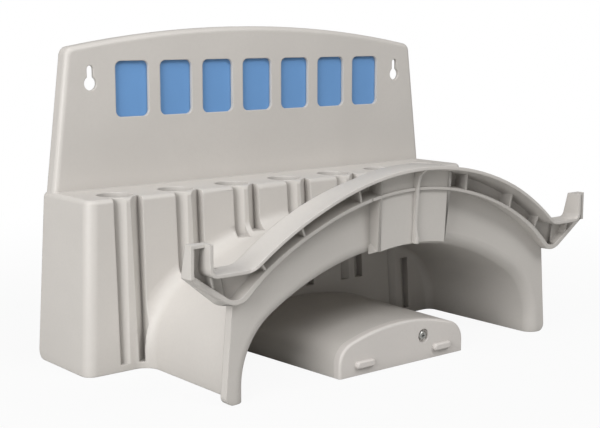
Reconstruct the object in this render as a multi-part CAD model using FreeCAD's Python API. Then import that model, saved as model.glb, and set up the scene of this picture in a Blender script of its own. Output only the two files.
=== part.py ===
import FreeCAD, Part
import math
import os

from FreeCAD import Vector as V

os.makedirs("parts", exist_ok=True)

# Wall-mounted hanger for a garden hose and hand tools, all sizes in millimetres.
# X runs to the right, Y into the wall, Z up. The origin is at the bottom centre of the bounding box.
# A "reach" is a distance forward from the wall plane.

# Driving dimensions: overall
collar_reach = 229.0
rim_proud = 20.0
wall_thick = 3.5

# Back panel
panel_depth = 14.0
panel_top_z = 303.0
panel_corner_z = 283.5
panel_top_half = 212.5
panel_edge_round = 5.0
panel_corner_round = 9.0

# Block under the panel, with the ledge on top
ledge_z = 153.5
block_top_half = 234.0
block_bottom_half = 244.5
block_top_reach = 80.0
block_bottom_reach = 89.5
block_corner_round = 10.0
block_foot_round = 9.0
ledge_edge_round = 4.5

# Tool stations along the ledge: a round hole, and in front of it a ridge with a sloping groove on each side
station_count = 7
station_pitch = 64.6
station_splay = 0.013
tool_hole_r = 16.5
tool_hole_reach = 57.0
tool_sleeve_wall = 2.5
tool_sleeve_depth = 8.0
ridge_top_half = 2.0
ridge_low_half = 4.6
groove_top_half = 15.0
groove_low_half = 14.2
groove_slope = 0.73
groove_bottom_z = 6.0
groove_wall = 2.5
drain_hole_r = 14.0

# Keyhole slots for the wall screws
keyhole_x = 189.5
keyhole_z = 251.0
keyhole_entry_r = 6.5
keyhole_slot_half = 3.5
keyhole_slot_top_z = 267.5

# Hose saddle between block and collar
saddle_half = 181.0
saddle_top_z = 114.0
saddle_haunch_r = 70.0
saddle_spring_z = 12.0
saddle_wall = 4.5
saddle_fillet = 15.0
tunnel_fillet = 8.0

# Collar plate at the front
collar_bottom_half = 197.5
collar_side_half = 190.0
collar_plate = 5.0
collar_edge_depth = 8.0
mouth_round = 11.0
foot_round = 7.0

# Double lip and hooks on the collar
rim_arch_r = 296.0
rim_top_z = 178.0
trough_z = 114.0
trough_r = 21.0
lip_arch_r = 272.5
lip_top_z = 161.0
lip_low_z = 83.5
lip_low_r = 18.0
lip_proud = 10.5
lip_wall = 3.0
low_lip_wall = 4.5
hook_outer_x = 238.0
hook_inner_x = 222.0
hook_inner_r = 5.0
hook_top_z = 138.0
hook_turn_z = 111.0
hook_proud = 13.0
hook_start_x = 203.0
hook_back = 2.5
web_offsets = (68.0, 133.0, 175.0)
web_end_x = 217.0
web_thick = 2.2

# Central box on the collar
box_half = 43.0
box_proud = 13.0
box_wall = 3.0
rib_thick = 3.0
rib_proud = 3.5

# Half drum under the arch
drum_front_half = 77.0
drum_rear_half = 84.0
drum_side_z = 11.0
drum_top_z = 40.0
drum_haunch_r = 20.0
drum_wall = 3.5
cap_depth = 8.0
cap_proud = 1.0
cap_edge_round = 2.5
bump_x = 48.0
bump_z = 9.5
bump_length = 22.0
bump_height = 7.0
bump_reach = 3.5
bump_bevel = 1.4

# Cap screw
screw_x = 25.0
screw_z = 22.5
screw_recess_r = 6.5
screw_recess_depth = 3.0
screw_head_r = 4.0
screw_head_height = 2.4
screw_head_bevel = 0.8
screw_cross = 4.2
screw_cross_width = 1.0
screw_cross_depth = 1.2
screw_shank_r = 1.95
screw_length = 16.0
screw_hole_r = 2.0
screw_boss_r = 6.0

# Windows and coloured inlay in the panel
window_count = 7
window_width = 36.0
window_height = 52.0
window_pitch = 48.5
window_z = 245.0
window_round = 6.0
inlay_thick = 2.0
inlay_margin = 6.0

# Reaches that follow from the collar, and the wall plane
rim_reach = collar_reach + rim_proud
lip_reach = collar_reach + lip_proud
hook_reach = collar_reach + hook_proud
box_reach = collar_reach + box_proud
rib_reach = box_reach + rib_proud
cap_reach = collar_reach + cap_proud
wall_y = rim_reach / 2.0
far = 600.0


def y_at(reach):
    """Return the Y position of a reach."""
    return wall_y - reach


def line(a, b):
    """Return a straight edge."""
    return Part.LineSegment(a, b).toShape()


def face_of(points):
    """Return a flat face from a closed run of points."""
    return Part.Face(Part.makePolygon(points + [points[0]]))


def cyl(radius, height, base, axis):
    """Return a cylinder from a base point along an axis."""
    return Part.makeCylinder(radius, height, base, axis)


def edges_where(shape, test):
    """Return the edges of a shape whose bounding box passes a test."""
    return [edge for edge in shape.Edges if test(edge.BoundBox)]


def along_y(box):
    """Tell whether an edge's box runs along Y alone."""
    return box.XLength < 0.01 and box.ZLength < 0.01 and box.YLength > 1.0


def wedge_solid(low, high):
    """Return a flat-sided solid between two four-cornered outlines that run anticlockwise from above."""
    faces = [face_of(list(reversed(low))), face_of(high)]
    for i in range(4):
        k = (i + 1) % 4
        faces.append(face_of([low[i], low[k], high[k], high[i]]))
    return Part.makeSolid(Part.makeShell(faces))


def plan(half, front, back, z):
    """Return the four corners of a symmetric plan at height z."""
    return [V(-half, back, z), V(-half, front, z), V(half, front, z), V(half, back, z)]


def panel_face(inset, y):
    """Return the arched panel outline, moved in by inset, as a face at y."""
    top = panel_top_half - inset
    low = block_top_half - inset
    low_z = ledge_z - 20.0
    corners = [V(-low, y, low_z), V(-top, y, panel_corner_z - inset), V(top, y, panel_corner_z - inset),
               V(low, y, low_z)]
    arch = Part.Arc(corners[1], V(0, y, panel_top_z - inset), corners[2]).toShape()
    return Part.Face(Part.Wire([line(corners[0], corners[1]), arch, line(corners[2], corners[3]),
                                line(corners[3], corners[0])]))


def make_panel():
    """Return the outer and inner solids of the panel."""
    outer = panel_face(0.0, wall_y).extrude(V(0, -panel_depth, 0))
    outer = outer.makeFillet(panel_corner_round, edges_where(outer, lambda b: along_y(b) and b.ZMin > ledge_z))
    front = y_at(panel_depth)
    rim = edges_where(outer, lambda b: b.YMax < front + 0.01 and b.ZMax > ledge_z)
    outer = outer.makeFillet(panel_edge_round, rim)
    depth = panel_depth - wall_thick + 5.0
    inner = panel_face(wall_thick, wall_y + 5.0).extrude(V(0, -depth, 0))
    inner = inner.makeFillet(panel_corner_round - wall_thick,
                             edges_where(inner, lambda b: along_y(b) and b.ZMin > ledge_z))
    keep = Part.makeBox(far, far, far, V(-far / 2.0, -far / 2.0, ledge_z))
    return outer, inner.common(keep)


def make_block():
    """Return the outer and inner solids of the block."""
    low = plan(block_bottom_half, y_at(block_bottom_reach), wall_y, 0.0)
    high = plan(block_top_half, y_at(block_top_reach), wall_y, ledge_z)
    outer = wedge_solid(low, high)
    front = y_at(block_top_reach)
    outer = outer.makeFillet(block_corner_round, edges_where(
        outer, lambda b: b.ZLength > ledge_z / 2.0 and b.YMax < front + 1.0))
    outer = outer.makeFillet(ledge_edge_round, edges_where(
        outer, lambda b: b.ZMin > ledge_z - 0.01 and b.YMin < wall_y - 1.0))
    outer = outer.makeFillet(block_foot_round, edges_where(
        outer, lambda b: b.ZMax < 0.01 and b.YMin > wall_y - 0.01))
    t = wall_thick
    low = plan(block_bottom_half - t, y_at(block_bottom_reach - t), wall_y + 5.0, t)
    high = plan(block_top_half - t, y_at(block_top_reach - t), wall_y + 5.0, ledge_z - t)
    inner = wedge_solid(low, high)
    inner = inner.makeFillet(block_corner_round - t, edges_where(
        inner, lambda b: b.ZLength > ledge_z / 2.0 and b.YMax < front + t + 1.0))
    return outer, inner


def face_reach(z):
    """Return the reach of the leaning front face at a height."""
    return block_top_reach + (block_bottom_reach - block_top_reach) * (1.0 - z / ledge_z)


def groove_span(x, side, z):
    """Return the ridge and outer X positions of one groove of the station at x, at a height."""
    down = 1.0 - z / ledge_z
    centre = x * (1.0 + station_splay * down)
    ridge = ridge_top_half + (ridge_low_half - ridge_top_half) * down
    outer = groove_top_half + (groove_low_half - groove_top_half) * down
    return centre + side * ridge, centre + side * outer


def groove_wedge(x, side, z_low, z_high, ahead, skin):
    """Return a groove's wedge between two heights, from ahead of the leaning face to skin behind the sloping floor."""
    rows = []
    for z in (z_low, z_high):
        ridge, outer = groove_span(x, side, z)
        outer += side * skin
        yf = y_at(face_reach(z) + ahead)
        near = V(ridge, y_at(face_reach(z) - skin), z)
        away = V(outer, y_at(face_reach(z) - skin - groove_slope * abs(outer - ridge)), z)
        if side > 0:
            rows.append([V(ridge, yf, z), V(outer, yf, z), away, near])
        else:
            rows.append([V(outer, yf, z), V(ridge, yf, z), near, away])
    return wedge_solid(rows[0], rows[1])


def crown(half, top, haunch_r, base):
    """Return the crown radius and the joint point of a three-centred arch."""
    offset = half - haunch_r
    rise = top - base
    radius = (offset ** 2 + rise ** 2 - haunch_r ** 2) / (2.0 * (rise - haunch_r))
    centre_z = top - radius
    reach = radius - haunch_r
    ux = offset / reach
    uz = (base - centre_z) / reach
    return radius, centre_z, radius * ux, centre_z + radius * uz


def arch_wire(half, top, haunch_r, base, foot, y):
    """Return a three-centred arch outline at y that springs at base and stands on foot."""
    radius, centre_z, jx, jz = crown(half, top, haunch_r, base)
    cx = half - haunch_r
    angle = math.atan2(jz - base, jx - cx) / 2.0
    mx = cx + haunch_r * math.cos(angle)
    mz = base + haunch_r * math.sin(angle)
    return Part.Wire([
        line(V(-half, y, foot), V(-half, y, base)),
        Part.Arc(V(-half, y, base), V(-mx, y, mz), V(-jx, y, jz)).toShape(),
        Part.Arc(V(-jx, y, jz), V(0, y, top), V(jx, y, jz)).toShape(),
        Part.Arc(V(jx, y, jz), V(mx, y, mz), V(half, y, base)).toShape(),
        line(V(half, y, base), V(half, y, foot)),
        line(V(half, y, foot), V(-half, y, foot)),
    ])


def arch_height(x, half, top, haunch_r):
    """Return the height of the saddle's arch at x, or 0 outside it."""
    radius, centre_z, jx, jz = crown(half, top, haunch_r, saddle_spring_z)
    x = abs(x)
    if x >= half:
        return 0.0
    if x <= jx:
        return centre_z + math.sqrt(radius ** 2 - x ** 2)
    return saddle_spring_z + math.sqrt(haunch_r ** 2 - (x - half + haunch_r) ** 2)


def make_saddle():
    """Return the arch that carries the hose, as a solid without its tunnel."""
    rear = y_at(block_top_reach - wall_thick * 0.6)
    front = y_at(collar_reach - collar_plate / 2.0)
    wire = arch_wire(saddle_half, saddle_top_z, saddle_haunch_r, saddle_spring_z, 0.0, rear)
    return Part.Face(wire).extrude(V(0, front - rear, 0))


def make_tunnel(block_outer):
    """Return the free space under the arch, rounded where it meets the block."""
    rear = y_at(block_top_reach - 30.0)
    front = y_at(collar_reach + 40.0)
    wire = arch_wire(saddle_half - saddle_wall, saddle_top_z - saddle_wall, saddle_haunch_r - saddle_wall,
                     saddle_spring_z, -10.0, rear)
    tunnel = Part.Face(wire).extrude(V(0, front - rear, 0)).cut(block_outer)
    tunnel = max(tunnel.Solids, key=lambda s: s.Volume)
    face_y = y_at(block_bottom_reach) - 0.5
    rear_edges = edges_where(tunnel, lambda b: b.YMin > face_y and b.ZMax > 5.0 and b.ZLength > 5.0)
    return tunnel.makeFillet(tunnel_fillet, rear_edges)


def lip_points(arch_r, arch_top, low_r, low_z):
    """Return where a crown arc meets the concave round that ends on the line at low_z."""
    centre_z = arch_top - arch_r
    cz = low_z + low_r
    cx = math.sqrt((arch_r + low_r) ** 2 - (cz - centre_z) ** 2)
    ux = cx / (arch_r + low_r)
    uz = (cz - centre_z) / (arch_r + low_r)
    return (arch_r * ux, centre_z + arch_r * uz), (cx, cz)


def arc_about(centre, radius, start, end, y):
    """Return an arc about a centre between two angles in degrees, seen in the XZ plane."""
    pts = []
    for angle in (start, (start + end) / 2.0, end):
        a = math.radians(angle)
        pts.append(V(centre[0] + radius * math.cos(a), y, centre[1] + radius * math.sin(a)))
    return Part.Arc(pts[0], pts[1], pts[2]).toShape()


def angle_of(centre, point):
    """Return the direction from a centre to a point, in degrees."""
    return math.degrees(math.atan2(point[1] - centre[1], point[0] - centre[0]))


def upper_edges(t, y):
    """Return the right half of the upper lip's line, moved down and out by t, from crown to hook top."""
    low = trough_z - t
    joint, centre = lip_points(rim_arch_r - t, rim_top_z - t, trough_r + t, low)
    x_in = hook_inner_x + t
    r = hook_inner_r + t
    top = (0.0, rim_top_z - rim_arch_r)
    return [
        arc_about(top, rim_arch_r - t, 90.0, angle_of(top, joint), y),
        arc_about(centre, trough_r + t, angle_of(centre, joint) + 360.0, 270.0, y),
        line(V(centre[0], y, low), V(x_in - r, y, low)),
        arc_about((x_in - r, low + r), r, 270.0, 360.0, y),
        line(V(x_in, y, low + r), V(x_in, y, hook_top_z)),
    ]


def lower_edges(t, y):
    """Return the right half of the lower lip's line, moved up and in by t, from crown to hook top."""
    joint, centre = lip_points(lip_arch_r, lip_top_z, lip_low_r, lip_low_z)
    r = lip_low_r - t
    dx = hook_outer_x - centre[0]
    dz = hook_turn_z - centre[1]
    slope = math.atan2(dz, dx) + math.asin(lip_low_r / math.hypot(dx, dz))
    foot = (centre[0] + r * math.sin(slope), centre[1] - r * math.cos(slope))
    x_out = hook_outer_x - t
    turn_z = foot[1] + (x_out - foot[0]) * math.tan(slope)
    top = (0.0, lip_top_z - lip_arch_r)
    radius = lip_arch_r + t
    start = (top[0] + radius * math.cos(math.radians(angle_of(top, joint))),
             top[1] + radius * math.sin(math.radians(angle_of(top, joint))))
    return [
        arc_about(top, radius, 90.0, angle_of(top, joint), y),
        arc_about(centre, r, angle_of(centre, start) + 360.0, 270.0 + math.degrees(slope), y),
        line(V(foot[0], y, foot[1]), V(x_out, y, turn_z)),
        line(V(x_out, y, turn_z), V(x_out, y, hook_top_z)),
    ]


def mirrored(edges):
    """Return edges mirrored to the left side."""
    return [edge.mirror(V(0, 0, 0), V(1, 0, 0)) for edge in edges]


def between(first, second, reach_low, reach_high):
    """Return the solid between two mirrored lines of edges, from one reach to another."""
    ends = []
    for chain in (first, second):
        box = Part.Wire(Part.__sortEdges__(chain)).BoundBox
        ends.append((box.XMax, chain[0].BoundBox.YMin))
    y = ends[0][1]
    closing = [line(V(s * ends[0][0], y, hook_top_z), V(s * ends[1][0], y, hook_top_z)) for s in (-1.0, 1.0)]
    edges = first + mirrored(first) + second + mirrored(second) + closing
    wire = Part.Wire(Part.__sortEdges__(edges))
    return Part.Face(wire).extrude(V(0, reach_low - reach_high, 0).multiply(-1.0))


def collar_plate_solid():
    """Return the flat plate of the collar below the lower lip."""
    y = y_at(collar_reach)
    joint, centre = lip_points(lip_arch_r, lip_top_z, lip_low_r, lip_low_z)
    side = collar_side_half
    foot = collar_bottom_half
    left = [V(-joint[0], y, joint[1]), V(-side, y, lip_low_z + 1.0), V(-foot, y, 0.0), V(foot, y, 0.0),
            V(side, y, lip_low_z + 1.0), V(joint[0], y, joint[1])]
    edges = [line(left[i], left[i + 1]) for i in range(5)]
    edges.append(Part.Arc(left[5], V(0, y, lip_top_z), left[0]).toShape())
    plate, flange = [Part.Face(Part.Wire(edges)).extrude(V(0, depth, 0)) for depth in (collar_plate, collar_edge_depth)]
    plate, flange = [plain.makeFillet(foot_round, edges_where(plain, lambda b: along_y(b) and b.ZMax < 0.01))
                     for plain in (plate, flange)]
    slim = face_of([V(-side + lip_wall, y, far), V(-side + lip_wall, y, lip_low_z + 1.0),
                    V(-foot + lip_wall, y, -5.0), V(foot - lip_wall, y, -5.0),
                    V(side - lip_wall, y, lip_low_z + 1.0), V(side - lip_wall, y, far)]).extrude(V(0, 50.0, 0))
    return plate.fuse(flange.cut(slim))


def make_web(side, offset):
    """Return one radial web that ties the two lips together."""
    centre_z = (rim_top_z - rim_arch_r + lip_top_z - lip_arch_r) / 2.0
    low_r = lip_top_z - centre_z + 0.5
    high_r = rim_top_z - centre_z - lip_wall + 0.5
    web = Part.makeBox(web_thick, lip_reach - collar_reach + 1.0, high_r - low_r,
                       V(-web_thick / 2.0, y_at(lip_reach - 1.0), centre_z + low_r))
    angle = math.degrees(math.asin(offset / rim_arch_r))
    web.rotate(V(0, 0, centre_z), V(0, 1, 0), side * angle)
    return web


def make_lips():
    """Return the double lip with its hooks, back plate and webs."""
    y = y_at(rim_reach)
    back = collar_reach - collar_plate
    upper = between(upper_edges(0.0, y), upper_edges(lip_wall, y), back - 1.5, rim_reach)
    y = y_at(lip_reach)
    lower = between(lower_edges(0.0, y), lower_edges(low_lip_wall, y), back - 1.5, lip_reach)
    y = y_at(collar_reach)
    band = between(upper_edges(0.0, y), lower_edges(0.0, y), back, collar_reach)
    parts = [lower, band]
    lip_corner_x = lip_points(lip_arch_r, lip_top_z, lip_low_r, lip_low_z)[1][0]
    lip_rise = (hook_turn_z - lip_low_z) / (hook_outer_x - lip_corner_x)
    for side in (-1.0, 1.0):
        x_low = min(side * hook_inner_x, side * hook_outer_x)
        parts.append(Part.makeBox(hook_outer_x - hook_inner_x, hook_reach - back, lip_wall,
                                  V(x_low, y_at(hook_reach), hook_top_z - lip_wall)))
        x_low = hook_outer_x - lip_wall if side > 0 else -hook_outer_x
        parts.append(Part.makeBox(lip_wall, hook_reach - back, hook_top_z - hook_turn_z,
                                  V(x_low, y_at(hook_reach), hook_turn_z)))
        parts.extend(make_web(side, offset) for offset in web_offsets)
        x_low = side * web_end_x - web_thick / 2.0
        low_z = lip_low_z + low_lip_wall / 2.0 + (web_end_x - lip_corner_x) * lip_rise
        parts.append(Part.makeBox(web_thick, lip_reach - collar_reach + 1.0, trough_z - lip_wall / 2.0 - low_z,
                                  V(x_low, y_at(lip_reach - 1.0), low_z)))
    y = y_at(collar_reach + hook_back)
    floor = between(upper_edges(0.0, y), lower_edges(0.0, y), collar_reach - 1.0, collar_reach + hook_back)
    inside = Part.makeBox(2.0 * hook_start_x, far, far, V(-hook_start_x, -far / 2.0, -far / 2.0))
    behind = Part.makeBox(far, far, far, V(-far / 2.0, y_at(collar_reach - 1.0), -far / 2.0)).cut(inside)
    return upper.fuse(parts + [floor.cut(inside)]).cut(behind)


def make_box():
    """Return the central box of the collar with its rib, and the pocket at its back."""
    low = saddle_top_z - saddle_wall - 6.0
    y = y_at(box_reach)
    edge_z = rim_top_z - rim_arch_r + math.sqrt((rim_arch_r - 1.0) ** 2 - box_half ** 2)
    arch = Part.Arc(V(-box_half, y, edge_z), V(0, y, rim_top_z - 1.0), V(box_half, y, edge_z)).toShape()
    pts = [V(box_half, y, edge_z), V(box_half, y, low), V(-box_half, y, low), V(-box_half, y, edge_z)]
    wire = Part.Wire([arch] + [line(pts[i], pts[i + 1]) for i in range(3)])
    solid = Part.Face(wire).extrude(V(0, box_reach - collar_reach + 1.0, 0))
    solid = solid.makeFillet(2.0, edges_where(solid, lambda b: b.YMax < y + 0.01 and b.XLength < 0.01))
    back = y_at(box_reach - 1.0)
    front = y_at(rib_reach)
    top = rim_top_z - lip_wall / 2.0
    rib_round = 12.0
    profile = Part.Wire([
        line(V(0, back, low), V(0, front - 2.0, low)),
        line(V(0, front - 2.0, low), V(0, front - 2.0, low + 10.0)),
        Part.Arc(V(0, front - 2.0, low + 10.0), V(0, front - 0.6, low + 16.0), V(0, front, low + 24.0)).toShape(),
        line(V(0, front, low + 24.0), V(0, front, top - 3.0 - rib_round)),
        Part.Arc(V(0, front, top - 3.0 - rib_round), V(0, front - 0.9, top - 9.0),
                 V(0, y_at(rim_reach - 0.5), top - 3.0)).toShape(),
        line(V(0, y_at(rim_reach - 0.5), top - 3.0), V(0, y_at(rim_reach - 0.5), top)),
        line(V(0, y_at(rim_reach - 0.5), top), V(0, back, top)),
        line(V(0, back, top), V(0, back, low)),
    ])
    rib = Part.Face(profile).extrude(V(rib_thick, 0, 0))
    rib.translate(V(-rib_thick / 2.0, 0, 0))
    pocket_low = saddle_top_z + 4.0
    half = box_half - box_wall
    pocket_top = rim_top_z - rim_arch_r + math.sqrt(rim_arch_r ** 2 - half ** 2) - lip_wall - 1.0
    pocket = Part.makeBox(2.0 * half, box_reach - box_wall - collar_reach + collar_plate + 10.0,
                          pocket_top - pocket_low, V(-half, y_at(box_reach - box_wall), pocket_low))
    return solid.fuse(rib), pocket


def drum_wire(half, inset, foot, y):
    """Return the drum's outline at y, moved in by inset."""
    return arch_wire(half - inset, drum_top_z - inset, drum_haunch_r - inset, drum_side_z, foot, y)


def make_drum():
    """Return the outer and inner solids of the drum."""
    rear_reach = block_top_reach - wall_thick * 0.6
    front_reach = cap_reach - cap_depth
    outer = Part.makeLoft([drum_wire(drum_rear_half, 0.0, 0.0, y_at(rear_reach)),
                           drum_wire(drum_front_half, 0.0, 0.0, y_at(front_reach))], True, True)
    hollow_reach = block_bottom_reach + 1.0
    share = (hollow_reach - rear_reach) / (front_reach - rear_reach)
    hollow_half = drum_rear_half + (drum_front_half - drum_rear_half) * share
    inner = Part.makeLoft([drum_wire(hollow_half, drum_wall, -2.0, y_at(hollow_reach)),
                           drum_wire(drum_front_half, drum_wall, -2.0, y_at(front_reach - drum_wall))],
                          True, True)
    return outer, inner


def station_xs():
    """Return the X positions of the tool stations."""
    first = -(station_count - 1) / 2.0
    return [(first + i) * station_pitch for i in range(station_count)]


def make_grooves():
    """Return the pocket walls and the cutting shapes of all station grooves."""
    backs = []
    cuts = []
    inner_half = saddle_half - saddle_wall
    down = V(0, 0, -tool_sleeve_depth)
    for x in station_xs():
        ring = cyl(tool_hole_r + tool_sleeve_wall, tool_sleeve_depth, V(x, y_at(tool_hole_reach), ledge_z) + down, V(0, 0, 1))
        backs.append(ring)
    for x in station_xs():
        for side in (-1.0, 1.0):
            backs.append(groove_wedge(x, side, groove_bottom_z - groove_wall, ledge_z - 0.5, -0.5, groove_wall))
            edges = [abs(edge) for edge in groove_span(x, side, groove_bottom_z)]
            over = arch_height(min(edges), saddle_half, saddle_top_z, saddle_haunch_r)
            under = arch_height(max(edges), inner_half, saddle_top_z - saddle_wall, saddle_haunch_r - saddle_wall)
            low = groove_bottom_z
            if over > groove_bottom_z:
                low = over + 1.0
                start = drum_top_z + 8.0 if min(edges) < drum_rear_half + 5.0 else groove_bottom_z
                if under - tunnel_fillet > start + 10.0:
                    cuts.append(groove_wedge(x, side, start, under - tunnel_fillet, 1.0, 0.0))
            ahead = saddle_fillet if over > groove_bottom_z else 3.0
            cuts.append(groove_wedge(x, side, low, ledge_z + 4.0, ahead, 0.0))
    return backs, cuts


def make_holes():
    """Return the cutting shapes of tool holes, drain holes, keyholes and windows."""
    cuts = []
    for x in station_xs():
        y = y_at(tool_hole_reach)
        cuts.append(cyl(tool_hole_r, tool_sleeve_depth + 6.0, V(x, y, ledge_z - tool_sleeve_depth - 1.0), V(0, 0, 1)))
        cuts.append(cyl(drain_hole_r, wall_thick + 6.0, V(x, y, -5.0), V(0, 0, 1)))
    ahead = V(0, -1, 0)
    for side in (-1.0, 1.0):
        x = side * keyhole_x
        top = keyhole_slot_top_z - keyhole_slot_half
        cuts.append(cyl(keyhole_entry_r, 30.0, V(x, wall_y, keyhole_z), ahead))
        cuts.append(cyl(keyhole_slot_half, 30.0, V(x, wall_y, top), ahead))
        cuts.append(Part.makeBox(2.0 * keyhole_slot_half, 30.0, top - keyhole_z,
                                 V(x - keyhole_slot_half, wall_y - 30.0, keyhole_z)))
    start = -(window_count - 1) / 2.0
    for i in range(window_count):
        x = (start + i) * window_pitch
        pane = Part.makeBox(window_width, 12.0, window_height,
                            V(x - window_width / 2.0, y_at(panel_depth + 4.0), window_z - window_height / 2.0))
        cuts.append(pane.makeFillet(window_round, edges_where(pane, along_y)))
    return cuts


def make_body():
    """Return the one-piece moulding."""
    panel_outer, panel_inner = make_panel()
    block_outer, block_inner = make_block()
    solid = block_outer.fuse(make_saddle())
    top_y = y_at(block_top_reach) + 0.5
    low_y = y_at(block_bottom_reach) - 0.5
    seam = edges_where(solid, lambda b: b.YMax < top_y and b.YMin > low_y and abs(b.XMax) < saddle_half + 1.0
                       and abs(b.XMin) < saddle_half + 1.0 and b.ZLength > 4.0)
    solid = solid.makeFillet(saddle_fillet, seam)
    tunnel = make_tunnel(block_outer)
    solid = solid.fuse([collar_plate_solid()]).cut(tunnel).removeSplitter()
    front = y_at(collar_reach)
    mouth = edges_where(solid, lambda b: b.YMin > front - 0.01 and b.YMax < front + 0.01
                        and abs(b.XMax) < saddle_half and abs(b.XMin) < saddle_half and b.ZMax < saddle_top_z)
    solid = solid.makeFillet(mouth_round, mouth)
    box, pocket = make_box()
    solid = solid.fuse([make_lips(), box.cut(tunnel)]).cut(pocket)
    drum_outer, drum_inner = make_drum()
    body = solid.fuse([panel_outer])
    body = body.cut(block_inner).cut(panel_inner)
    body = body.fuse([drum_outer.cut(block_inner)]).cut(drum_inner)
    backs, cuts = make_grooves()
    body = body.fuse([back.common(block_outer) for back in backs])
    boss_y = y_at(cap_reach - cap_depth)
    body = body.fuse([cyl(screw_boss_r, screw_length - 2.0, V(screw_x, boss_y, screw_z), V(0, 1, 0))])
    cuts.append(cyl(screw_hole_r, screw_length + 10.0, V(screw_x, boss_y - 5.0, screw_z), V(0, 1, 0)))
    return body.cut(cuts + make_holes())


def make_inlay():
    """Return the coloured plate behind the windows."""
    width = (window_count - 1) * window_pitch + window_width + 2.0 * inlay_margin
    height = window_height + 2.0 * inlay_margin
    return Part.makeBox(width, inlay_thick, height,
                        V(-width / 2.0, y_at(panel_depth - wall_thick), window_z - height / 2.0))


def make_cap():
    """Return the end cap of the drum."""
    rear = y_at(cap_reach - cap_depth)
    front = y_at(cap_reach)
    cap = Part.Face(drum_wire(drum_front_half, 0.0, 0.0, rear)).extrude(V(0, front - rear, 0))
    rim = edges_where(cap, lambda b: b.YMax < front + 0.01 and b.ZMax > 1.0)
    cap = cap.makeFillet(cap_edge_round, rim)
    r = bump_height / 2.0
    span = bump_length / 2.0 - r
    for side in (-1.0, 1.0):
        x = side * bump_x
        y = front - bump_reach
        bar = Part.makeBox(2.0 * span, bump_reach + 1.0, bump_height, V(x - span, y, bump_z - r))
        ends = [cyl(r, bump_reach + 1.0, V(x + s * span, y, bump_z), V(0, 1, 0)) for s in (-1.0, 1.0)]
        bump = bar.fuse(ends).removeSplitter()
        bump = bump.makeChamfer(bump_bevel, edges_where(bump, lambda b, y=y: b.YMax < y + 0.01))
        cap = cap.fuse(bump)
    ahead = V(0, -1, 0)
    cap = cap.cut(cyl(screw_recess_r, 10.0, V(screw_x, front + screw_recess_depth, screw_z), ahead))
    return cap.cut(cyl(screw_shank_r + 0.4, 20.0, V(screw_x, rear + 5.0, screw_z), ahead))


def make_screw():
    """Return the cap screw with a cross recess."""
    seat = y_at(cap_reach) + screw_recess_depth
    face = seat - screw_head_height
    head = cyl(screw_head_r, screw_head_height, V(screw_x, seat, screw_z), V(0, -1, 0))
    head = head.makeChamfer(screw_head_bevel, edges_where(head, lambda b: b.YMax < face + 0.01))
    screw = head.fuse(cyl(screw_shank_r, screw_length, V(screw_x, seat - 0.5, screw_z), V(0, 1, 0)))
    for w, h in ((screw_cross, screw_cross_width), (screw_cross_width, screw_cross)):
        screw = screw.cut(Part.makeBox(w, screw_cross_depth + 1.0, h,
                                       V(screw_x - w / 2.0, face - 1.0, screw_z - h / 2.0)))
    return screw


nodes = {
    "hanger_body": make_body(),
    "sign_inlay": make_inlay(),
    "drum_cap": make_cap(),
    "cap_screw": make_screw(),
}
for name, shape in nodes.items():
    print(name, "solids", len(shape.Solids), "valid", shape.isValid(), "volume", round(shape.Volume))
    solid = shape.Solids[0] if len(shape.Solids) == 1 else shape
    solid.exportStep("parts/" + name + ".step")
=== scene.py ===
"""Dresses the garden hose hanger: moulded grey plastic, a blue sign plate, the drum's end cap and its screw.

The body is a merged copy of its solid, whose collar is drawn a few millimetres closer to the real one's lines.
"""

import logging
import math
from dataclasses import dataclass
from enum import Enum

import bmesh
import bpy
from mathutils import Euler, Matrix, Vector


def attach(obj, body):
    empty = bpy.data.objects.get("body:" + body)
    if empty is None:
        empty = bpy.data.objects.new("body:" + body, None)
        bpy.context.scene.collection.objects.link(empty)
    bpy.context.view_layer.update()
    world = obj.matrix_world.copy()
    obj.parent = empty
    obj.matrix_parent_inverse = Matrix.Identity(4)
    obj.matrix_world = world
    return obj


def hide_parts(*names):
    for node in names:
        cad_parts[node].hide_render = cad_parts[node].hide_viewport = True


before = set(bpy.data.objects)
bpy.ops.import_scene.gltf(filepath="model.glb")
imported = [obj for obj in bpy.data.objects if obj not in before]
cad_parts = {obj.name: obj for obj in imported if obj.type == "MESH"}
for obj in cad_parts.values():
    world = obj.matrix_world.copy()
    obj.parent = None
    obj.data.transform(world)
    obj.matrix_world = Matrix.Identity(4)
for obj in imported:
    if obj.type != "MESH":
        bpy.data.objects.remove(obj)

log = logging.getLogger("hose_hanger")

MM = 0.001
WELD = 0.001 * MM
SORT_LINE = Vector((1.0, 0.31, 0.17))
WHITE = (1.0, 1.0, 1.0, 1.0)
Colour = tuple[float, float, float]
Span = tuple[float, float]


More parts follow.
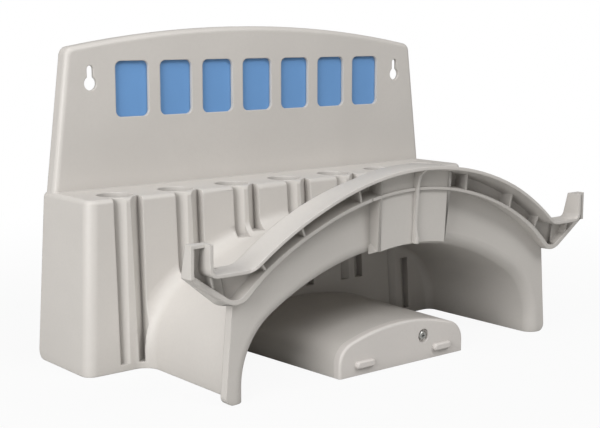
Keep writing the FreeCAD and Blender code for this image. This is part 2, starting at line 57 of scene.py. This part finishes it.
class Value:
    """A shader number that adds Math nodes when it is used in an expression."""

    def __init__(self, graph: "Graph", socket: bpy.types.NodeSocket) -> None:
        """Wraps an output socket of the graph."""
        self.graph = graph
        self.socket = socket

    def _math(self, operation: str, first: "Value | float", second: "Value | float") -> "Value":
        """Adds one Math node.

        Args:
            operation: The node's operation.
            first: The value for its first socket.
            second: The value for its second socket.

        Returns:
            The node's result.
        """
        return self.graph.value("ShaderNodeMath", {"operation": operation}, {0: first, 1: second})

    def __add__(self, other: "Value | float") -> "Value":
        """Returns this plus another value."""
        return self._math("ADD", self, other)

    def __radd__(self, other: float) -> "Value":
        """Returns a number plus this."""
        return self._math("ADD", other, self)

    def __sub__(self, other: "Value | float") -> "Value":
        """Returns this less another value."""
        return self._math("SUBTRACT", self, other)

    def __rsub__(self, other: float) -> "Value":
        """Returns a number less this."""
        return self._math("SUBTRACT", other, self)

    def __mul__(self, other: "Value | float") -> "Value":
        """Returns this times another value."""
        return self._math("MULTIPLY", self, other)

    def __rmul__(self, other: float) -> "Value":
        """Returns a number times this."""
        return self._math("MULTIPLY", other, self)

    def ramp(self, low: float, high: float) -> "Value":
        """Returns a smooth step.

        Args:
            low: The value at which the step starts.
            high: The value at which it ends.

        Returns:
            0 below low, 1 above high and a smooth rise between them.
        """
        return self.graph.value("ShaderNodeMapRange", {"interpolation_type": "SMOOTHSTEP"},
                                {"Value": self, "From Min": low, "From Max": high})


class Graph:
    """The node tree of one material or world."""

    def __init__(self, owner: bpy.types.Material | bpy.types.World) -> None:
        """Empties the owner's tree and keeps it.

        Args:
            owner: The material or world whose tree it is.
        """
        owner.use_nodes = True
        self.tree = owner.node_tree
        self.tree.nodes.clear()

    def node(self, kind: str, settings: dict | None = None, inputs: dict | None = None) -> bpy.types.Node:
        """Adds one node.

        Args:
            kind: The node's type.
            settings: Its properties, which are set first.
            inputs: Numbers, colours, values or sockets for its inputs, by name or place.

        Returns:
            The new node.
        """
        made = self.tree.nodes.new(kind)
        for name, setting in (settings or {}).items():
            setattr(made, name, setting)
        for key, given in (inputs or {}).items():
            socket = made.inputs[key]
            if isinstance(given, Value):
                self.tree.links.new(given.socket, socket)
            elif isinstance(given, bpy.types.NodeSocket):
                self.tree.links.new(given, socket)
            else:
                socket.default_value = given
        return made

    def value(self, kind: str, settings: dict | None = None, inputs: dict | None = None,
              output: int | str = 0) -> Value:
        """Adds one node and returns one of its outputs as a value."""
        return Value(self, self.node(kind, settings, inputs).outputs[output])

    def noise(self, place: Value, scale: float, detail: float = 2.0) -> Value:
        """Returns a noise pattern from 0 to 1 whose features are about 1/scale metres across."""
        return self.value("ShaderNodeTexNoise", {"noise_dimensions": "3D"},
                          {"Vector": place, "Scale": scale, "Detail": detail}, "Fac")

    def soft_edges(self, radius: float, samples: int) -> Value:
        """Returns a normal that rounds the edges by a radius in metres."""
        return self.value("ShaderNodeBevel", {"samples": samples}, {"Radius": radius})

    def open_air(self, depth: float) -> Value:
        """Returns 1 on open surfaces and less in corners that are up to a depth in metres."""
        return self.value("ShaderNodeAmbientOcclusion", {"samples": 8}, {"Distance": depth}, "AO")

    def mix(self, factor: Value | float, first: "Colour | Value", second: "Colour | Value") -> Value:
        """Returns a colour between two colours.

        Args:
            factor: 0 for the first colour, 1 for the second.
            first: The first colour.
            second: The second colour.

        Returns:
            The mixed colour.
        """
        ends = [end if isinstance(end, Value) else (*end, 1.0) for end in (first, second)]
        return self.value("ShaderNodeMix", {"data_type": "RGBA"}, {0: factor, 6: ends[0], 7: ends[1]}, 2)

    def finish(self, shader: bpy.types.Node, kind: str = "ShaderNodeOutputMaterial") -> None:
        """Feeds a shader to the tree's output."""
        self.node(kind, None, {"Surface": shader.outputs[0]})


def scaled(colour: Colour, factor: float) -> Colour:
    """Returns a colour made lighter or darker by a factor."""
    return tuple(min(1.0, channel * factor) for channel in colour)


class Grain(Enum):
    """How finely a mould was textured: the grain's scale per metre and its height in metres."""

    SATIN = (1400.0, 0.00004)
    SMOOTH = (2600.0, 0.000015)

    @property
    def scale(self) -> float:
        """Returns the grain's scale per metre."""
        return self.value[0]

    @property
    def height(self) -> float:
        """Returns the grain's height in metres."""
        return self.value[1]


@dataclass(frozen=True)
class PlasticFinish:
    """A moulded plastic with a fine grain, soft edges, painted highlights on its edges, which are also polished, and
    painted shade in its corners.

    Lengths are in metres, scales per metre, and shades are factors of the colour.
    """

    name: str
    colour: Colour
    grain: Grain
    roughness: float = 0.46
    roughness_spread: float = 0.08
    edge_radius: float = 1.3 * MM
    # Painted highlight on edges: how much paler the edges are made and how strongly; edge_polish lowers their
    # roughness.
    painted_highlight_lift: float = 1.16
    painted_highlight_share: float = 0.8
    edge_polish: float = 0.08
    edge_turn: Span = (0.02, 0.30)
    edge_open: Span = (0.55, 0.9)
    # Painted shade in corners: occlusion depth, how dark the colour is made, and the ramp of the occlusion.
    corner_depth: float = 16.0 * MM
    corner_shade: float = 0.80
    corner_open: Span = (0.15, 0.85)
    cloud_scale: float = 11.0
    cloud_rise: Span = (0.3, 0.7)
    cloud_tones: Span = (0.975, 1.02)
    speck_scale: float = 420.0
    speck_rise: Span = (0.35, 0.8)
    speck_share: float = 0.35
    speck_shade: float = 0.95
    wave_scale: float = 22.0
    wave_share: float = 6.0
    relief: float = 0.35

    def material(self) -> bpy.types.Material:
        """Makes the finish's material.

        Returns:
            The new material.
        """
        made = bpy.data.materials.new(self.name)
        graph = Graph(made)
        place = graph.value("ShaderNodeTexCoord", output="Object")
        soft = graph.soft_edges(self.edge_radius, 8)
        flat = graph.value("ShaderNodeNewGeometry", output="Normal")
        agree = graph.value("ShaderNodeVectorMath", {"operation": "DOT_PRODUCT"}, {0: soft, 1: flat}, "Value")
        open_air = graph.open_air(self.corner_depth)
        cloud = graph.noise(place, self.cloud_scale, 3.0)
        speck = graph.noise(place, self.speck_scale)
        # Painted highlight: this edge mask lightens the colour below, and the same mask lowers the roughness as
        # polish.
        edge_highlight_and_polish = (1.0 - agree).ramp(*self.edge_turn) * open_air.ramp(*self.edge_open)
        # Painted shade: corners found by ambient occlusion are darkened in colour.
        painted_corner_shade = 1.0 - open_air.ramp(*self.corner_open)
        dark, light = self.cloud_tones
        tone = graph.mix(cloud.ramp(*self.cloud_rise), scaled(self.colour, dark), scaled(self.colour, light))
        tone = graph.mix(speck.ramp(*self.speck_rise) * self.speck_share, tone, scaled(self.colour, self.speck_shade))
        # Paints the corner shade into the colour.
        tone = graph.mix(painted_corner_shade, tone, scaled(self.colour, self.corner_shade))
        # Paints the edge highlight into the colour.
        tone = graph.mix(edge_highlight_and_polish * self.painted_highlight_share, tone, scaled(self.colour, self.painted_highlight_lift))
        grain = graph.noise(place, self.grain.scale)
        wave = graph.noise(place, self.wave_scale, 1.0)
        bump = graph.node("ShaderNodeBump", None, {
            "Strength": self.relief, "Distance": self.grain.height, "Height": grain + wave * self.wave_share,
            "Normal": soft})
        shader = graph.node("ShaderNodeBsdfPrincipled", None, {
            "Base Color": tone,
            "Roughness": self.roughness + (speck - 0.5) * self.roughness_spread - edge_highlight_and_polish * self.edge_polish,
            "Normal": bump.outputs["Normal"],
        })
        graph.finish(shader)
        return made


@dataclass(frozen=True)
class SteelFinish:
    """Plated steel with turned marks and painted shade in the driver's cross, with lengths in metres."""

    name: str
    colour: Colour
    roughness: float = 0.34
    roughness_spread: float = 0.12
    edge_radius: float = 0.25 * MM
    # Painted shade in the recess: occlusion depth, ramp, and how dark the colour is made.
    painted_shade_depth: float = 2.5 * MM
    painted_shade_open: Span = (0.2, 0.8)
    painted_shade_level: float = 0.35
    marks_scale: float = 2200.0
    marks_height: float = 0.02 * MM
    relief: float = 0.3

    def material(self) -> bpy.types.Material:
        """Makes the finish's material.

        Returns:
            The new material.
        """
        made = bpy.data.materials.new(self.name)
        graph = Graph(made)
        place = graph.value("ShaderNodeTexCoord", output="Object")
        marks = graph.noise(place, self.marks_scale, 3.0)
        # Painted shade: the driver's cross is darkened in colour where ambient occlusion finds a recess.
        unshaded = graph.open_air(self.painted_shade_depth).ramp(*self.painted_shade_open)
        soft = graph.soft_edges(self.edge_radius, 6)
        tone = graph.mix(unshaded, scaled(self.colour, self.painted_shade_level), self.colour)
        bump = graph.node("ShaderNodeBump", None, {
            "Strength": self.relief, "Distance": self.marks_height, "Height": marks, "Normal": soft})
        shader = graph.node("ShaderNodeBsdfPrincipled", None, {
            "Base Color": tone, "Metallic": 1.0, "Roughness": self.roughness + marks * self.roughness_spread,
            "Normal": bump.outputs["Normal"]})
        graph.finish(shader)
        return made


GREY_PLASTIC = PlasticFinish("moulded_warm_grey", (0.590, 0.562, 0.530), Grain.SATIN)
CAP_PLASTIC = PlasticFinish("cap_warm_grey", (0.665, 0.630, 0.600), Grain.SMOOTH, edge_radius=0.7 * MM)
# The sign's edges get a weaker painted highlight.
BLUE_PLASTIC = PlasticFinish("sign_blue", (0.150, 0.330, 0.640), Grain.SMOOTH, roughness=0.40, painted_highlight_lift=1.1)
SCREW_STEEL = SteelFinish("plated_steel", (0.60, 0.60, 0.58))


@dataclass
class Moulding:
    """A piece that keeps its solid's own shape and gets a detailed finish."""

    node: str
    finish: PlasticFinish | SteelFinish

    def dress(self) -> None:
        """Gives the node its material."""
        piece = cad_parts[self.node]
        made = self.finish.material()
        if not piece.material_slots:
            piece.data.materials.append(made)
        for slot in piece.material_slots:
            slot.material = made
        log.info("%s wears %s", self.node, self.finish.name)


@dataclass(frozen=True)
class Arch:
    """A round arch over the middle of the hanger, in millimetres."""

    top: float
    radius: float

    def distance(self, x: float, z: float) -> float:
        """Returns how far a point is from the arch's centre."""
        return math.hypot(x, z - self.top + self.radius)


@dataclass
class Spot:
    """A point of the body while it is drawn, and where it was against the collar before that, in millimetres."""

    x: float
    y: float
    z: float
    ahead: float
    across: float
    under_rim: float
    over_lip: float
    fade: float
    reach: float


@dataclass
class Collar:
    """A copy of the body with its collar's lips and hooks drawn to the real one's lines, in millimetres."""

    node: str
    finish: PlasticFinish
    plate_y: float = -104.5
    span: float = 192.0
    reach_gain: float = 1.5
    slack: float = 0.35
    wide_slack: float = 1.0
    fine_slack: float = 0.1
    behind: float = 3.0

    rim: Arch = Arch(178.0, 296.0)
    rim_wall: float = 3.0
    rim_depth: float = 20.0
    rim_rise: float = 4.0
    rim_gain: float = 6.7
    rim_on_box: float = 0.8
    crown_rise: float = 4.5
    crown_half: float = 90.0
    crown_sink: float = 2.2

    lip: Arch = Arch(161.0, 272.5)
    lip_wall: float = 4.5
    lip_depth: float = 10.5
    lip_gain: float = 4.4
    lip_drop: float = 1.0
    lip_thinning: float = 1.7
    lip_overlap: float = 9.0
    lip_root: float = 2.0
    lip_steps: int = 24
    skin: float = 0.05

    box_half: float = 43.0
    box_depth: float = 13.0
    box_foot: float = 135.0
    box_taper: float = 0.955
    foot_back: float = 2.0
    foot_lift: float = 3.5

    corner_start: float = 150.0
    corner_low: float = 83.5
    corner_draw: float = 5.0
    corner_lift: float = 1.5
    hook_start: float = 203.0
    hook_low: float = 111.0
    hook_top: float = 138.0
    hook_depth: float = 13.0
    hook_gain: float = 6.0

    ledge: float = 153.5
    panel_front: float = 108.0
    panel_gain: float = 1.009

    def spot(self, point: Vector) -> Spot:
        """Works out where a point is against the collar.

        Args:
            point: The point, in millimetres.

        Returns:
            The point with its distances from the collar's plate, rim and lip.
        """
        x, y, z = point
        across = abs(x)
        fade = max(0.0, 1.0 - (across / self.span) ** 2)
        return Spot(x=x, y=y, z=z, ahead=self.plate_y - y, across=across,
                    under_rim=self.rim.radius - self.rim.distance(x, z),
                    over_lip=self.lip.distance(x, z) - self.lip.radius,
                    fade=fade, reach=min(1.0, self.reach_gain * fade))

    def draw_lips(self, spot: Spot) -> None:
        """Lifts the rim and brings it forward, and thins the lower lip and brings it forward beside the box.

        Args:
            spot: The point, which is changed.
        """
        slack = self.slack
        in_box = spot.across < self.box_half + slack
        if spot.ahead > slack and -slack < spot.under_rim < self.rim_wall + slack:
            on_box = in_box and abs(spot.ahead - self.box_depth) < slack
            share = spot.ahead / self.rim_depth
            spot.z += self.rim_rise * share * spot.fade * (self.rim_on_box if on_box else 1.0)
            if not on_box:
                spot.y -= self.rim_gain * share * spot.reach
        elif slack < spot.ahead < self.lip_depth + slack and -slack < spot.over_lip < self.lip_wall + slack:
            if not in_box:
                spot.y -= self.lip_gain * spot.ahead / self.lip_depth * spot.reach
            spot.z -= (self.lip_drop + self.lip_thinning * spot.over_lip / self.lip_wall) * spot.reach

    def draw_hook(self, spot: Spot) -> None:
        """Draws the corner below the hook inwards and leans the upturned end forwards.

        Args:
            spot: The point, which is changed.
        """
        in_lip = self.slack < spot.ahead < self.hook_depth + self.slack
        at_corner = spot.across > self.corner_start and self.corner_low - self.wide_slack < spot.z < self.hook_low
        if in_lip and at_corner:
            low = min(1.0, (self.hook_low - spot.z) / (self.hook_low - self.corner_low))
            spot.x -= math.copysign(self.corner_draw * low, spot.x)
            spot.z += self.corner_lift * low
        upturned = spot.across > self.hook_start - self.fine_slack and spot.z > self.hook_low
        if upturned and -self.behind < spot.ahead < self.hook_depth:
            high = (spot.z - self.hook_low) / (self.hook_top - self.hook_low)
            spot.y -= self.hook_gain * high * (self.hook_depth - spot.ahead) / self.hook_depth

    def draw_crown(self, spot: Spot) -> None:
        """Lifts the plate's upper edge in the middle and sinks it towards the sides.

        Args:
            spot: The point, which is changed.
        """
        if -self.behind < spot.ahead < self.slack and abs(spot.under_rim) < self.slack:
            rise = self.crown_rise * (1.0 - (spot.across / self.crown_half) ** 2)
            spot.z += max(-self.crown_sink, rise) * spot.reach

    def draw_box(self, spot: Spot) -> None:
        """Tapers the lower part of the central box and lifts its foot.

        Args:
            spot: The point, which is changed.
        """
        if spot.z >= self.box_foot:
            return
        if self.slack < spot.ahead < self.rim_depth and spot.across < self.box_half + self.slack:
            spot.x *= self.box_taper
            spot.y += self.foot_back
            spot.z += self.foot_lift
        elif abs(spot.ahead) < self.slack and abs(spot.across - self.box_half) < self.slack:
            spot.x *= self.box_taper

    def draw_panel(self, spot: Spot) -> None:
        """Widens the back panel above the ledge."""
        if spot.y > self.panel_front and spot.z > self.ledge + self.slack:
            spot.x *= self.panel_gain

    def moved(self, point: Vector) -> Vector:
        """Returns where a point of the body goes.

        Args:
            point: The point, in millimetres.

        Returns:
            Its place after the collar is drawn.
        """
        spot = self.spot(point)
        for draw in (self.draw_lips, self.draw_hook, self.draw_crown, self.draw_box, self.draw_panel):
            draw(spot)
        return Vector((spot.x, spot.y, spot.z))

    def lip_crossing(self) -> bmesh.types.BMesh:
        """Makes the length of lip that crosses the box's front, spun about the lip's own centre.

        Returns:
            Its closed shape, in metres, with its faces in the same order each run.
        """
        centre = Vector((0.0, 0.0, self.lip.top - self.lip.radius))
        swing = math.asin((self.box_half + self.lip_overlap) / self.lip.radius)
        back = self.plate_y - self.lip_depth + self.lip_root
        front = self.plate_y - self.lip_depth - self.lip_gain + self.skin
        low = self.lip.radius - self.lip_drop + self.skin
        high = self.lip.radius - self.lip_drop + self.lip_wall - self.lip_thinning - self.skin
        shape = bmesh.new()
        corners = [shape.verts.new((centre + Vector((0.0, y, z))) * MM)
                   for y, z in ((back, low), (front, low), (front, high), (back, high))]
        profile = shape.faces.new(corners)
        bmesh.ops.rotate(shape, verts=shape.verts, cent=centre * MM, matrix=Matrix.Rotation(-swing, 3, "Y"))
        bmesh.ops.spin(shape, geom=[profile, *profile.verts, *profile.edges], cent=centre * MM,
                       axis=(0.0, 1.0, 0.0), angle=2.0 * swing, steps=self.lip_steps)
        bmesh.ops.recalc_face_normals(shape, faces=shape.faces)
        shape.faces.sort(key=lambda face: face.calc_center_median().dot(SORT_LINE))
        return shape

    def body(self) -> bmesh.types.BMesh:
        """Merges the body's own solid and draws its collar.

        Returns:
            Its shape, in metres.
        """
        shape = bmesh.new()
        shape.from_mesh(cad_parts[self.node].data)
        bmesh.ops.remove_doubles(shape, verts=shape.verts, dist=WELD)
        for vertex in shape.verts:
            vertex.co = self.moved(vertex.co / MM) * MM
        return shape

    def build(self) -> None:
        """Makes the body's stand-in and the crossing lip."""
        made = self.finish.material()
        for name, shape in (("hanger_moulding", self.body()), ("lip_crossing", self.lip_crossing())):
            mesh = bpy.data.meshes.new(name)
            shape.to_mesh(mesh)
            shape.free()
            mesh.materials.append(made)
            piece = bpy.data.objects.new(name, mesh)
            bpy.context.scene.collection.objects.link(piece)
            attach(piece, "root")
            if name == "hanger_moulding":
                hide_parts(self.node)
            log.info("%s has %d faces", name, len(mesh.polygons))


@dataclass(frozen=True)
class Lamp:
    """A soft square lamp: its place and edge length in metres and its power in watts."""

    name: str
    place: tuple[float, float, float]
    size: float
    power: float

    def build(self, aim: Vector) -> None:
        """Adds the lamp to the scene.

        Args:
            aim: The point that it looks at, in metres.
        """
        data = bpy.data.lights.new(self.name, "AREA")
        data.size = self.size
        data.energy = self.power
        lamp = bpy.data.objects.new(self.name, data)
        lamp.location = self.place
        lamp.rotation_euler = (aim - Vector(self.place)).to_track_quat("-Z", "Y").to_euler()
        bpy.context.scene.collection.objects.link(lamp)


@dataclass
class Studio:
    """The pale floor, the soft lamps, the white surround and the camera at the photograph's viewing angle."""

    eye: Vector
    turn: float
    dip: float
    lens: float
    lamps: tuple[Lamp, ...]
    aim: tuple[float, float, float] = (0.0, 0.0, 0.12)
    sensor: float = 36.0
    near_clip: float = 0.01
    floor_half: float = 6.0
    floor_gap: float = 0.2 * MM
    floor_colour: Colour = (0.50, 0.50, 0.49)
    near_white: float = 0.93
    near_radius: float = 0.25
    clear_radius: float = 0.95
    surround: float = 0.22
    surround_colour: Colour = (1.0, 0.995, 0.985)

    def camera(self) -> None:
        """Creates the camera and makes it the scene's own."""
        data = bpy.data.cameras.new("view")
        data.lens = self.lens
        data.sensor_width = self.sensor
        data.clip_start = self.near_clip
        camera = bpy.data.objects.new("view", data)
        camera.location = self.eye
        camera.rotation_euler = Euler((math.radians(90.0 - self.dip), 0.0, math.radians(-self.turn)))
        bpy.context.scene.collection.objects.link(camera)
        bpy.context.scene.camera = camera

    def world(self) -> None:
        """Makes a surround that looks white and lights at a plain level."""
        world = bpy.data.worlds.new("surround")
        bpy.context.scene.world = world
        graph = Graph(world)
        path = graph.node("ShaderNodeLightPath")
        seen = graph.value("ShaderNodeMath", {"operation": "MAXIMUM"}, {
            0: path.outputs["Is Camera Ray"], 1: path.outputs["Is Transmission Ray"]})
        plain = graph.node("ShaderNodeBackground", None, {
            "Color": (*self.surround_colour, 1.0), "Strength": self.surround})
        white = graph.node("ShaderNodeBackground", None, {"Color": WHITE, "Strength": 1.0})
        both = graph.node("ShaderNodeMixShader", None, {0: seen, 1: plain.outputs[0], 2: white.outputs[0]})
        graph.finish(both, "ShaderNodeOutputWorld")

    def floor(self) -> None:
        """Adds the floor, which fades to white away from the object and keeps its shadow."""
        mesh = bpy.data.meshes.new("floor")
        shape = bmesh.new()
        bmesh.ops.create_grid(shape, x_segments=1, y_segments=1, size=self.floor_half)
        bmesh.ops.translate(shape, verts=shape.verts, vec=(0.0, 0.0, -self.floor_gap))
        shape.to_mesh(mesh)
        shape.free()
        floor = bpy.data.objects.new("floor", mesh)
        bpy.context.scene.collection.objects.link(floor)
        mesh.materials.append(self.floor_finish())

    def floor_finish(self) -> bpy.types.Material:
        """Makes the floor's material: plain under the object and white farther away.

        Returns:
            The new material.
        """
        made = bpy.data.materials.new("pale_floor")
        graph = Graph(made)
        place = graph.value("ShaderNodeTexCoord", output="Object")
        away = graph.value("ShaderNodeVectorMath", {"operation": "LENGTH"}, {0: place}, "Value")
        path = graph.node("ShaderNodeLightPath")
        camera_ray = Value(graph, path.outputs["Is Camera Ray"])
        far = away.ramp(self.near_radius, self.clear_radius)
        clear = (self.near_white + far * (1.0 - self.near_white)) * camera_ray
        matt = graph.node("ShaderNodeBsdfDiffuse", None, {"Color": (*self.floor_colour, 1.0)})
        glow = graph.node("ShaderNodeEmission", None, {"Color": WHITE, "Strength": 1.0})
        both = graph.node("ShaderNodeMixShader", None, {0: clear, 1: matt.outputs[0], 2: glow.outputs[0]})
        graph.finish(both)
        return made

    def build(self) -> None:
        """Sets up the whole studio."""
        bpy.context.scene.view_settings.view_transform = "Standard"
        self.world()
        self.floor()
        self.camera()
        for lamp in self.lamps:
            lamp.build(Vector(self.aim))
        log.info("studio is set")


LAMPS = (
    Lamp("sky_panel", (-0.4, -0.5, 1.7), 1.4, 10.5),
    Lamp("left_panel", (-1.9, -0.6, 0.8), 1.2, 30.0),
    Lamp("front_panel", (0.6, -1.5, 1.7), 0.8, 17.5),
)


def main() -> None:
    """Dresses every piece and sets up the studio."""
    logging.basicConfig(level=logging.INFO)
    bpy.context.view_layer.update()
    pieces = (
        Moulding("sign_inlay", BLUE_PLASTIC),
        Moulding("drum_cap", CAP_PLASTIC),
        Moulding("cap_screw", SCREW_STEEL),
    )
    for piece in pieces:
        piece.dress()
    Collar("hanger_body", GREY_PLASTIC).build()
    Studio(eye=Vector((-0.735, -0.8537, 0.299)), turn=39.36, dip=8.775, lens=71.43, lamps=LAMPS).build()


if __name__ == "__main__":
    main()
